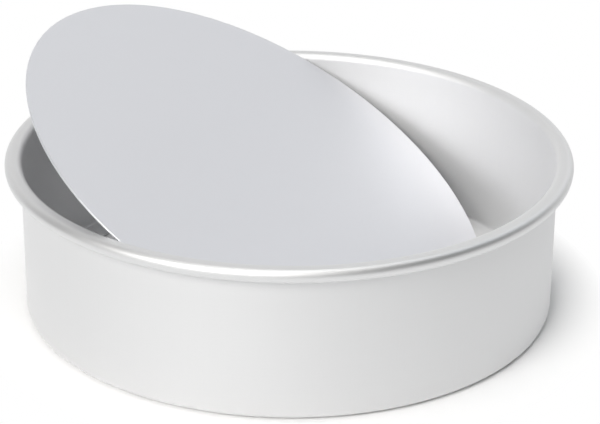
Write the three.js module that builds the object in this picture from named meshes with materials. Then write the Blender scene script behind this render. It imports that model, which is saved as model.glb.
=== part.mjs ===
// Loose-bottom cake pan in plain aluminium. The ring is one sheet spun to a straight wall, with a rolled
// rim and a flat seat turned in at its foot. The bottom is a loose disc that lies on the seat in use, and
// here it is lifted out and leans in the ring, with its low edge down through the open foot.
// Millimetres, +Z up, origin at the centre of the ring's foot, the bottom's raised side towards -X.
import * as THREE from "three";

// The ring's wall and foot
const INNER_DIAMETER = 254;
const HEIGHT = 76.2;
const RING_SHEET = 0.9;
const FOOT_BEND = 1.2; // inside radius of the bend from wall to seat
const FOOT_ROUND = 2.8; // outside radius of the same bend, where the sheet is drawn thinner
const SEAT_WIDTH = 13.5; // from the inner wall to the edge of the open foot

// The ring's rim: the wall turns out to a narrow flat lip, which rolls over and under into an open bead
const LIP_BEND = 3.2; // radius of the bend from wall to lip, on the side of the cake
const RIM_REACH = 5.0; // from the inner wall out to the middle of the bead
const BEAD_DIAMETER = 6.8;
const BEAD_TURN = 225; // degrees of roll, counted from the top of the rim

// The loose bottom
const BOTTOM_SHEET = 0.9;
const BOTTOM_PLAY = 2.85; // radial play inside the wall
const EDGE_BREAK = 0.2; // sheared edges are eased by this much

// How the bottom leans
const LEAN = 29.5; // degrees from level
const REST_GAP = 0.3; // left under its low edge, and between its sides and the ring

// Satin anodised finish
const RING_COLOUR = 0xe1e2e2;
const BOTTOM_COLOUR = 0xd9dadd;
const SATIN_ROUGHNESS = 0.5;
const SATIN_METALNESS = 0.9;

// Facets
const ROUND_STEPS = 96;
const BEND_STEPS = 5;
const BEAD_STEPS = 10; // over 225 degrees of roll, one point falls on the bead's widest

const innerRadius = INNER_DIAMETER / 2;
const throatHeight = HEIGHT - LIP_BEND; // where the straight wall ends
const bottomRadius = innerRadius - BOTTOM_PLAY;
const lean = THREE.MathUtils.degToRad(LEAN);

// Points of an arc in the profile plane, x outwards and y up, angles in degrees from +x.
function arc(centreX, centreY, radius, from, to, steps) {
  const points = [];
  for (let i = 0; i <= steps; i++) {
    const angle = THREE.MathUtils.degToRad(from + ((to - from) * i) / steps);
    points.push(new THREE.Vector2(centreX + radius * Math.cos(angle), centreY + radius * Math.sin(angle)));
  }
  return points;
}

// Turns a profile around the upright axis.
function turned(profile) {
  return new THREE.LatheGeometry(profile, ROUND_STEPS).rotateX(Math.PI / 2);
}

// Up the outside of the sheet, round inside the bead, back over the bead and down the inside of the pan.
function ringProfile() {
  const seatEdge = innerRadius - SEAT_WIDTH;
  const footX = innerRadius + RING_SHEET - FOOT_ROUND;
  const bendX = innerRadius - FOOT_BEND;
  const bendY = RING_SHEET + FOOT_BEND;
  const lipX = innerRadius + LIP_BEND;
  const rimX = innerRadius + RIM_REACH;
  const beadRadius = BEAD_DIAMETER / 2;
  const beadY = HEIGHT - beadRadius;
  const rollEnd = 90 - BEAD_TURN;
  const profile = [
    new THREE.Vector2(seatEdge, 0),
    ...arc(footX, FOOT_ROUND, FOOT_ROUND, -90, 0, BEND_STEPS),
    ...arc(lipX, throatHeight, LIP_BEND - RING_SHEET, 180, 90, BEND_STEPS),
    ...arc(rimX, beadY, beadRadius - RING_SHEET, 90, rollEnd, BEAD_STEPS),
    ...arc(rimX, beadY, beadRadius, rollEnd, 90, BEAD_STEPS),
    ...arc(lipX, throatHeight, LIP_BEND, 90, 180, BEND_STEPS),
    ...arc(bendX, bendY, FOOT_BEND, 0, -90, BEND_STEPS),
    new THREE.Vector2(seatEdge, RING_SHEET),
  ];
  profile.push(profile[0].clone());
  return profile;
}

// A flat disc with eased edges, its underside at height 0.
function bottomProfile() {
  return [
    new THREE.Vector2(0, 0),
    new THREE.Vector2(bottomRadius - EDGE_BREAK, 0),
    new THREE.Vector2(bottomRadius, EDGE_BREAK),
    new THREE.Vector2(bottomRadius, BOTTOM_SHEET - EDGE_BREAK),
    new THREE.Vector2(bottomRadius - EDGE_BREAK, BOTTOM_SHEET),
    new THREE.Vector2(0, BOTTOM_SHEET),
  ];
}

// The inside of the ring from the foot to the top of the rim, in fine steps.
function insideOutline() {
  const wallSteps = 200;
  const lipSteps = 50;
  const wall = [];
  for (let i = 0; i < wallSteps; i++) {
    wall.push(new THREE.Vector2(innerRadius, (throatHeight * i) / wallSteps));
  }
  return [...wall, ...arc(innerRadius + LIP_BEND, throatHeight, LIP_BEND, 180, 90, lipSteps)];
}

// How far the leaning underside's centre stands off the ring's axis. At each height the underside's chord
// has to fit the ring, and the height that leaves least room sets where its sides come to rest.
function leanOffset(centreHeight) {
  let offset = Infinity;
  for (const inside of insideOutline()) {
    const upSlope = (inside.y - centreHeight) / Math.sin(lean);
    const room = inside.x - REST_GAP;
    const reach = Math.sqrt(upSlope ** 2 + room ** 2 - bottomRadius ** 2);
    offset = Math.min(offset, reach - upSlope * Math.cos(lean));
  }
  return offset;
}

function anodised(color) {
  return new THREE.MeshStandardMaterial({ color, roughness: SATIN_ROUGHNESS, metalness: SATIN_METALNESS });
}

const ring = new THREE.Mesh(turned(ringProfile()), anodised(RING_COLOUR));
ring.name = "pan_ring";

const bottom = new THREE.Mesh(turned(bottomProfile()), anodised(BOTTOM_COLOUR));
bottom.name = "loose_bottom";
const bottomHeight = bottomRadius * Math.sin(lean) + REST_GAP;
bottom.position.set(-leanOffset(bottomHeight), 0, bottomHeight);
bottom.rotation.y = lean;

const pan = new THREE.Group();
pan.add(ring, bottom);

export default pan;
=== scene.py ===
import math

import bpy
from mathutils import Matrix, Vector


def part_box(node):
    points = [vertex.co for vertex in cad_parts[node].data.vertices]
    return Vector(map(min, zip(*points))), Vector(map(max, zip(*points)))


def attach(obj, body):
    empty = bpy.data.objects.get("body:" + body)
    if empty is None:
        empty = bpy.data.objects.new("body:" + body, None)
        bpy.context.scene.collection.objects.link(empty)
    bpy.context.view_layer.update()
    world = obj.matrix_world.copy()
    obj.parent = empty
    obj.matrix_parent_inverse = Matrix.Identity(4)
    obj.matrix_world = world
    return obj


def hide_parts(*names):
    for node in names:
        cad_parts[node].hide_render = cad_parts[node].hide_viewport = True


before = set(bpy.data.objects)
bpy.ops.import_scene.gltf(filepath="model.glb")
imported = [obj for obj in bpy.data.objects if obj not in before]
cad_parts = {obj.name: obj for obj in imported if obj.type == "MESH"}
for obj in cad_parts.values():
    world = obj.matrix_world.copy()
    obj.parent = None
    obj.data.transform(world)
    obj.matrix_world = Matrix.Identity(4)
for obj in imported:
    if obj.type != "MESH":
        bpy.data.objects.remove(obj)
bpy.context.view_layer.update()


# The ring. A blank of soft aluminium is drawn to a straight wall, its foot is turned in to a flat seat,
# and its top is turned out and rolled over into a bead on a spinning lathe. The whole sheet is then etched
# and anodised, which leaves an even satin skin over faint drawing streaks and roller marks.
ring_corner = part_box("pan_ring")[1]
height = ring_corner.z
sheet = 0.0009
bead_radius = 0.0034
rim_reach = 0.005
lip_bend = 0.0032
roll_turn = math.radians(225)
seat_width = 0.0135
foot_bend = 0.0012
foot_round = 0.0028
eased_edge = 0.0002
rim_radius = ring_corner.x - bead_radius
inner_radius = rim_radius - rim_reach
throat_height = height - lip_bend
quarter, half = math.pi / 2, math.pi
edge_steps = 4
steps_round = 360
weld_reach = 1e-6


def on_circle(centre, radius, angle):
    """A point of a circle in the section, its angle counted from x, which runs outwards, to z."""
    return centre[0] + radius * math.cos(angle), centre[1] + radius * math.sin(angle)


def arc(centre, radius, start, end, steps):
    """Points round part of a circle in the section."""
    return [on_circle(centre, radius, start + (end - start) * i / steps) for i in range(steps + 1)]


def straight(start, end, pitch=0.006, hold=0.0003):
    """Points between two ends of a flat stretch, with one close to each end that keeps it flat."""
    start, end = Vector(start), Vector(end)
    length = (end - start).length
    steps = max(1, round(length / pitch))
    shares = [hold / length] + [i / steps for i in range(1, steps)] + [1 - hold / length]
    return [tuple(start.lerp(end, share)) for share in shares]


def section_mesh(name, points, closed):
    """A section as a chain of edges in the XZ plane."""
    mesh = bpy.data.meshes.new(name)
    count = len(points)
    edges = [(i, (i + 1) % count) for i in range(count if closed else count - 1)]
    mesh.from_pydata([(x, 0, z) for x, z in points], edges, [])
    return mesh


def spinning_tree():
    """Node tree that spins a section round the upright axis into a closed skin."""
    tree = bpy.data.node_groups.new("spin round the axis", "GeometryNodeTree")
    inputs = {"Section": "Geometry", "Path radius": "Float", "Steps round": "Int", "Finish": "Material"}
    for name, kind in inputs.items():
        tree.interface.new_socket(name, in_out="INPUT", socket_type="NodeSocket" + kind)
    tree.interface.new_socket("Skin", in_out="OUTPUT", socket_type="NodeSocketGeometry")
    node, link = tree.nodes.new, tree.links.new
    given = node("NodeGroupInput")
    inset = node("ShaderNodeMath")
    inset.operation = "MULTIPLY"
    inset.inputs[1].default_value = -1
    shift = node("ShaderNodeCombineXYZ")
    stand = node("GeometryNodeTransform")
    lay = node("GeometryNodeTransform")
    lay.inputs["Rotation"].default_value = (quarter, 0, 0)
    section = node("GeometryNodeMeshToCurve")
    path = node("GeometryNodeCurvePrimitiveCircle")
    upright = node("GeometryNodeSetCurveNormal")
    upright.mode = "Z_UP"
    skin = node("GeometryNodeCurveToMesh")
    weld = node("GeometryNodeMergeByDistance")
    weld.inputs["Distance"].default_value = weld_reach
    outwards = node("GeometryNodeFlipFaces")
    smooth = node("GeometryNodeSetShadeSmooth")
    realize = node("GeometryNodeRealizeInstances")
    finish = node("GeometryNodeSetMaterial")
    out = node("NodeGroupOutput")
    link(given.outputs["Section"], stand.inputs["Geometry"])
    link(given.outputs["Path radius"], inset.inputs[0])
    link(inset.outputs[0], shift.inputs["X"])
    link(shift.outputs[0], stand.inputs["Translation"])
    link(given.outputs["Path radius"], path.inputs["Radius"])
    link(given.outputs["Steps round"], path.inputs["Resolution"])
    link(section.outputs["Curve"], skin.inputs["Profile Curve"])
    link(given.outputs["Finish"], finish.inputs["Material"])
    for row in ([stand, lay, section], [path, upright, skin, weld, outwards, smooth, realize, finish, out]):
        for before, after in zip(row, row[1:]):
            link(before.outputs[0], after.inputs[0])
    return tree


spin = spinning_tree()


def spun(name, section, path_radius, finish):
    """A plain mesh object made by spinning a section."""
    draft = bpy.data.objects.new(name + "_section", section)
    bpy.context.scene.collection.objects.link(draft)
    turn = draft.modifiers.new("spin", "NODES")
    turn.node_group = spin
    sizes = {"Path radius": path_radius, "Steps round": steps_round, "Finish": finish}
    for socket in spin.interface.items_tree:
        if socket.name in sizes:
            turn[socket.identifier] = sizes[socket.name]
    graph = bpy.context.evaluated_depsgraph_get()
    mesh = bpy.data.meshes.new_from_object(draft.evaluated_get(graph))
    draft.modifiers.remove(turn)
    bpy.data.objects.remove(draft)
    mesh.name = name
    piece = bpy.data.objects.new(name, mesh)
    bpy.context.scene.collection.objects.link(piece)
    return piece


class Flow:
    """A socket of a material's node tree, on which sums add Math nodes."""

    def __init__(self, tree, socket):
        self.tree = tree
        self.socket = socket

    def node(self, kind, settings=None, sockets=None, output=0):
        """A new node of the same tree: settings first, then the values or links of its sockets."""
        made = self.tree.nodes.new(kind)
        for key, value in (settings or {}).items():
            setattr(made, key, value)
        for key, value in (sockets or {}).items():
            if isinstance(value, Flow):
                self.tree.links.new(value.socket, made.inputs[key])
            else:
                made.inputs[key].default_value = value
        return Flow(self.tree, made.outputs[output])

    def sum(self, operation, first, second):
        """A Math node on two values."""
        return self.node("ShaderNodeMath", {"operation": operation}, {0: first, 1: second})

    def __add__(self, other):
        return self.sum("ADD", self, other)

    def __radd__(self, other):
        return self.sum("ADD", other, self)

    def __sub__(self, other):
        return self.sum("SUBTRACT", self, other)

    def __rsub__(self, other):
        return self.sum("SUBTRACT", other, self)

    def __mul__(self, other):
        return self.sum("MULTIPLY", self, other)

    def __rmul__(self, other):
        return self.sum("MULTIPLY", other, self)

    def __truediv__(self, other):
        return self.sum("DIVIDE", self, other)

    def __rtruediv__(self, other):
        return self.sum("DIVIDE", other, self)

    def parts(self):
        """The three numbers of a vector."""
        split = self.node("ShaderNodeSeparateXYZ", None, {0: self}).socket.node
        return [Flow(self.tree, socket) for socket in split.outputs]

    def feeds(self, shader, name):
        """Links this socket to one of a shader's."""
        self.tree.links.new(self.socket, shader.inputs[name])


def new_finish(name):
    """A new material, its Principled shader and its Object coordinates."""
    made = bpy.data.materials.new(name)
    made.use_nodes = True
    tree = made.node_tree
    places = tree.nodes.new("ShaderNodeTexCoord")
    return made, tree.nodes["Principled BSDF"], Flow(tree, places.outputs["Object"])


def from_axis(x, y):
    """How far a place is from the upright axis."""
    return x.node("ShaderNodeMath", {"operation": "SQRT"}, {0: x * x + y * y})


def rise(value, start, full):
    """0 up to start, 1 from full on, and an even rise between them."""
    return value.node("ShaderNodeMapRange", None, {"Value": value, "From Min": start, "From Max": full})


def stretched(x, y, z):
    """A place made of three numbers, each already drawn out as a pattern needs it."""
    return x.node("ShaderNodeCombineXYZ", None, {0: x, 1: y, 2: z})


def grain(place, scale=1.0, detail=3.0):
    """Noise of 0 to 1 at a place."""
    return place.node("ShaderNodeTexNoise", None, {"Vector": place, "Scale": scale, "Detail": detail})


def tinted(tone, tint, shader):
    """Gives a shader a tone as its colour, with a share of it in red, green and blue."""
    channels = {i: tone * share for i, share in enumerate(tint)}
    tone.node("ShaderNodeCombineColor", None, channels).feeds(shader, "Base Color")


def etched(relief, shader, strength=0.05, depth=0.0002):
    """Gives a shader the faint relief of the etched skin."""
    sockets = {"Strength": strength, "Distance": depth, "Height": relief}
    relief.node("ShaderNodeBump", None, sockets).feeds(shader, "Normal")


streaks_per_radian, streaks_per_metre = 160, 9
marks_per_radian, marks_per_metre = 2, 1100
etch_per_metre = 2200
ring_clouds_per_metre = 24
ring_tone = 0.805
ring_tint = (0.997, 1.0, 1.004)
ring_cloud_tone, streak_tone, etch_tone = 0.016, 0.014, 0.02
# The bead's colour is set a little darker than the wall's. This is painted shade that tones down the
# highlights on the rim.
bead_painted_shade = 0.05
skin_satin = 0.61
cloud_satin, streak_satin, mark_satin = 0.04, 0.03, 0.03
bead_smoother = 0.12
ring_etch_relief, mark_relief, streak_relief = 0.5, 0.3, 0.2

ring_finish, ring_shader, place = new_finish("spun_satin_aluminium")
ring_shader.inputs["Metallic"].default_value = 1.0
x, y, z = place.parts()
radius = from_axis(x, y)
around_x, around_y = x / radius, y / radius
streak_place = stretched(
    around_x * streaks_per_radian,
    around_y * streaks_per_radian,
    z * streaks_per_metre,
)
mark_place = stretched(
    around_x * marks_per_radian,
    around_y * marks_per_radian,
    (z + radius) * marks_per_metre,
)
streaks = grain(streak_place)
marks = grain(mark_place, detail=2.0)
etch = grain(place, etch_per_metre, detail=2.0)
cloud = grain(place, ring_clouds_per_metre)
# Over the bead the skin is smoother, which is real. Its colour is also darker there, which is painted shade.
bead_burnish_and_shade = rise(radius, inner_radius + sheet, inner_radius + 3 * sheet)
tone = cloud * ring_cloud_tone + streaks * streak_tone + etch * etch_tone - bead_burnish_and_shade * bead_painted_shade + ring_tone
tinted(tone, ring_tint, ring_shader)
satin = cloud * cloud_satin + streaks * streak_satin + marks * mark_satin + skin_satin
(satin - bead_burnish_and_shade * bead_smoother).feeds(ring_shader, "Roughness")
etched(etch * ring_etch_relief + marks * mark_relief + streaks * streak_relief, ring_shader)

seat_edge = inner_radius - seat_width
outer_bend_centre = (inner_radius + sheet - foot_round, foot_round)
inner_bend_centre = (inner_radius - foot_bend, sheet + foot_bend)
lip_centre = (inner_radius + lip_bend, throat_height)
bead_centre = (rim_radius, height - bead_radius)
roll_middle = bead_radius - sheet / 2
roll_end = quarter - roll_turn + sheet / 2 / roll_middle
roll_tip = on_circle(bead_centre, roll_middle, roll_end)
edge_foot = arc((seat_edge + eased_edge, eased_edge), eased_edge, half, 3 * quarter, edge_steps)
outer_bend = arc(outer_bend_centre, foot_round, -quarter, 0, steps=16)
lip_under = arc(lip_centre, lip_bend - sheet, half, quarter, steps=12)
bead_inside = arc(bead_centre, bead_radius - sheet, quarter, roll_end, steps=24)
roll_edge = arc(roll_tip, sheet / 2, roll_end + half, roll_end + 2 * half, steps=8)
bead_outside = arc(bead_centre, bead_radius, roll_end, quarter, steps=36)
lip_inside = arc(lip_centre, lip_bend, quarter, half, steps=16)
inner_bend = arc(inner_bend_centre, foot_bend, 0, -quarter, steps=12)
edge_top = arc((seat_edge + eased_edge, sheet - eased_edge), eased_edge, quarter, half, edge_steps)
ring_section = (
    edge_foot
    + straight(edge_foot[-1], outer_bend[0])
    + outer_bend
    + straight(outer_bend[-1], lip_under[0])
    + lip_under
    + straight(lip_under[-1], bead_inside[0])
    + bead_inside[:-1]
    + roll_edge
    + bead_outside[1:]
    + straight(bead_outside[-1], lip_inside[0])
    + lip_inside
    + straight(lip_inside[-1], inner_bend[0])
    + inner_bend
    + straight(inner_bend[-1], edge_top[0])
    + edge_top
)
ring_outline = section_mesh("ring_section", ring_section, closed=True)
ring = spun("spun_ring", ring_outline, inner_radius, ring_finish)
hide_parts("pan_ring")
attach(ring, "ring")


# The loose bottom. A plain disc sheared from flat rolled sheet of the same metal, with the same etched
# and anodised skin. Its cut edge is eased and bare, so it shines more than the faces, and its colour there
# is lighter, partly for the bare metal and partly as a painted highlight. Nothing holds it.
bottom_low, bottom_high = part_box("loose_bottom")
bottom_centre = (bottom_low + bottom_high) / 2
edge_clearance = 0.00005
bottom_radius = (bottom_high.y - bottom_low.y) / 2 - edge_clearance
bottom_sheet = 0.0009
lean = math.radians(29.5)
lines_per_metre_across, lines_per_metre_along = 1400, 12
bottom_clouds_per_metre = 20
# The bottom's colour is set a little darker and bluer than the ring's. This is a painted cool reflection of
# the light behind it, not a different metal.
bottom_tone = 0.785
bottom_painted_cool_tint = (0.99, 0.995, 1.026)
bottom_cloud_tone, rolled_tone = 0.014, 0.01
# The lighter cut edge is partly bare metal and partly a painted highlight.
bare_edge_and_painted_highlight = 0.06
rolled_satin = 0.03
cut_edge_smoother = 0.25
bottom_etch_relief, rolled_relief = 0.7, 0.3

bottom_finish, bottom_shader, place = new_finish("flat_satin_aluminium")
bottom_shader.inputs["Metallic"].default_value = 1.0
leaning = {"Vector": place, "Location": bottom_centre, "Rotation": (0, lean, 0)}
flat_place = place.node("ShaderNodeMapping", {"vector_type": "TEXTURE"}, leaning)
x, y, z = flat_place.parts()
rolled = grain(stretched(x * lines_per_metre_along, y * lines_per_metre_across, z * lines_per_metre_along))
etch = grain(place, etch_per_metre, detail=2.0)
cloud = grain(place, bottom_clouds_per_metre)
cut_start = bottom_radius - eased_edge / 2
cut_edge = place.sum("GREATER_THAN", x * x + y * y, cut_start * cut_start)
skin_tone = cloud * bottom_cloud_tone + rolled * rolled_tone + etch * etch_tone
tinted(skin_tone + cut_edge * bare_edge_and_painted_highlight + bottom_tone, bottom_painted_cool_tint, bottom_shader)
satin = cloud * cloud_satin + rolled * rolled_satin - cut_edge * cut_edge_smoother + skin_satin
satin.feeds(bottom_shader, "Roughness")
etched(etch * bottom_etch_relief + rolled * rolled_relief, bottom_shader)

under, top = -bottom_sheet / 2, bottom_sheet / 2
edge_middle = bottom_radius - eased_edge
edge_under = arc((edge_middle, under + eased_edge), eased_edge, -quarter, 0, edge_steps)
edge_over = arc((edge_middle, top - eased_edge), eased_edge, 0, quarter, edge_steps)
bottom_section = (
    [(0, under)]
    + straight((0, under), edge_under[0])
    + edge_under
    + edge_over
    + straight(edge_over[-1], (0, top))
    + [(0, top)]
)
bottom_outline = section_mesh("bottom_section", bottom_section, closed=False)
bottom = spun("loose_disc", bottom_outline, bottom_radius, bottom_finish)
bottom.data.transform(Matrix.Translation(bottom_centre) @ Matrix.Rotation(lean, 4, "Y"))
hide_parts("loose_bottom")
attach(bottom, "bottom")


# The table: a wide roll of matt white paper that the pan stands on, curved up far behind it into a backdrop,
# square to the camera. Close to the pan it shows the shadow. Further out it fades to plain white for the
# camera and for whatever the metal mirrors.
camera_azimuth = math.radians(19.13)
to_right = Vector((math.cos(camera_azimuth), math.sin(camera_azimuth), 0))
to_front = Vector((math.sin(camera_azimuth), -math.cos(camera_azimuth), 0))
paper_half_width = 8.0
paper_front = -8.0
paper_back = 3.6
paper_bend = 1.2
paper_top = 4.6
paper_drop = 0.0008
paper_white = 0.96
shadow_kept = 0.129
shadow_gone = 0.157

bend_centre = (paper_back - paper_bend, paper_bend - paper_drop)
bend_points = arc(bend_centre, paper_bend, -quarter, 0, steps=24)
paper_section = [(paper_front, -paper_drop)] + bend_points + [(paper_back, paper_top)]
sides = [to_right * (-paper_half_width), to_right * paper_half_width]
spread = [side - to_front * back + Vector((0, 0, up)) for back, up in paper_section for side in sides]
strips = [(2 * i, 2 * i + 1, 2 * i + 3, 2 * i + 2) for i in range(len(paper_section) - 1)]
paper_mesh = bpy.data.meshes.new("table_paper")
paper_mesh.from_pydata(spread, [], strips)
paper_mesh.shade_smooth()
paper = bpy.data.objects.new("table_paper", paper_mesh)
bpy.context.scene.collection.objects.link(paper)

paper_finish, paper_shader, place = new_finish("white_paper")
paper_shader.inputs["Base Color"].default_value = (paper_white, paper_white, paper_white, 1)
paper_shader.inputs["Roughness"].default_value = 1.0
paper_shader.inputs["Specular IOR Level"].default_value = 0.0
x, y = place.parts()[:2]
white_share = rise(from_axis(x, y), shadow_kept, shadow_gone)
seeing_rays = ("Is Camera Ray", "Is Glossy Ray", "Is Transmission Ray")
by_camera, by_mirror, by_glass = [place.node("ShaderNodeLightPath", output=ray) for ray in seeing_rays]
seen = by_camera + by_mirror + by_glass
plain_white = place.node("ShaderNodeEmission", None, {"Color": (1, 1, 1, 1), "Strength": 1.0})
lit_paper = Flow(place.tree, paper_shader.outputs["BSDF"])
paper_look = place.node("ShaderNodeMixShader", None, {0: white_share * seen, 1: lit_paper, 2: plain_white})
paper_look.feeds(place.tree.nodes["Material Output"], "Surface")
paper_mesh.materials.append(paper_finish)


# The studio: a dim pale room, a large soft box in front to the left, one overhead, and a cool panel behind
# to the right. The camera stands a metre from the pan with a long lens, and looks a little down on it.
room_colour = (0.96, 0.98, 1.0, 1)
room_strength = 0.05
lamp_distance = 4.4
key_colour = (1.0, 0.988, 0.97)
top_colour = (1.0, 0.99, 0.975)
side_colour = (0.9, 0.95, 1.0)
camera_back = 0.99194
camera_height = 0.49489
camera_aim_right = 0.00526
camera_aim_height = 0.04235
camera_roll = 0.00782
photo_width_px, focal_length_px = 600, 2251.2

scene = bpy.context.scene
scene.view_settings.view_transform = "Standard"
room = bpy.data.worlds.new("pale_room")
room.use_nodes = True
room_light = room.node_tree.nodes["Background"]
room_light.inputs["Color"].default_value = room_colour
room_light.inputs["Strength"].default_value = room_strength
scene.world = room


def soft_box(name, azimuth, elevation, width, tall, radiance, colour):
    """A large even lamp that faces the pan, its azimuth counted from the camera's side, right positive."""
    lamp = bpy.data.lights.new(name, "AREA")
    lamp.shape = "RECTANGLE"
    lamp.size, lamp.size_y = width, tall
    lamp.energy = radiance * math.pi * width * tall
    lamp.color = colour
    box = bpy.data.objects.new(name, lamp)
    around = camera_azimuth + math.radians(azimuth)
    up = math.radians(elevation)
    flat = math.cos(up)
    away = Vector((math.sin(around) * flat, -math.cos(around) * flat, math.sin(up)))
    box.location = away * lamp_distance
    box.rotation_mode = "QUATERNION"
    box.rotation_quaternion = away.to_track_quat("Z", "Y")
    box.visible_camera = False
    scene.collection.objects.link(box)


soft_box("key_box", azimuth=-32, elevation=35, width=2.9, tall=1.8, radiance=9.6, colour=key_colour)
soft_box("top_box", azimuth=-5, elevation=84, width=2.5, tall=3.4, radiance=2.75, colour=top_colour)
soft_box("side_box", azimuth=112, elevation=51, width=2.4, tall=2.0, radiance=1.4, colour=side_colour)

camera_data = bpy.data.cameras.new("camera")
camera_data.sensor_width = 36.0
camera_data.lens = focal_length_px / photo_width_px * camera_data.sensor_width
camera_data.clip_start = 0.05
camera_data.clip_end = 50.0
camera = bpy.data.objects.new("camera", camera_data)
scene.collection.objects.link(camera)
camera.location = to_front * camera_back + Vector((0, 0, camera_height))
aim = to_right * camera_aim_right + Vector((0, 0, camera_aim_height))
camera.rotation_mode = "QUATERNION"
roll = Matrix.Rotation(camera_roll, 3, "Z").to_quaternion()
camera.rotation_quaternion = (aim - camera.location).to_track_quat("-Z", "Y") @ roll
scene.camera = camera
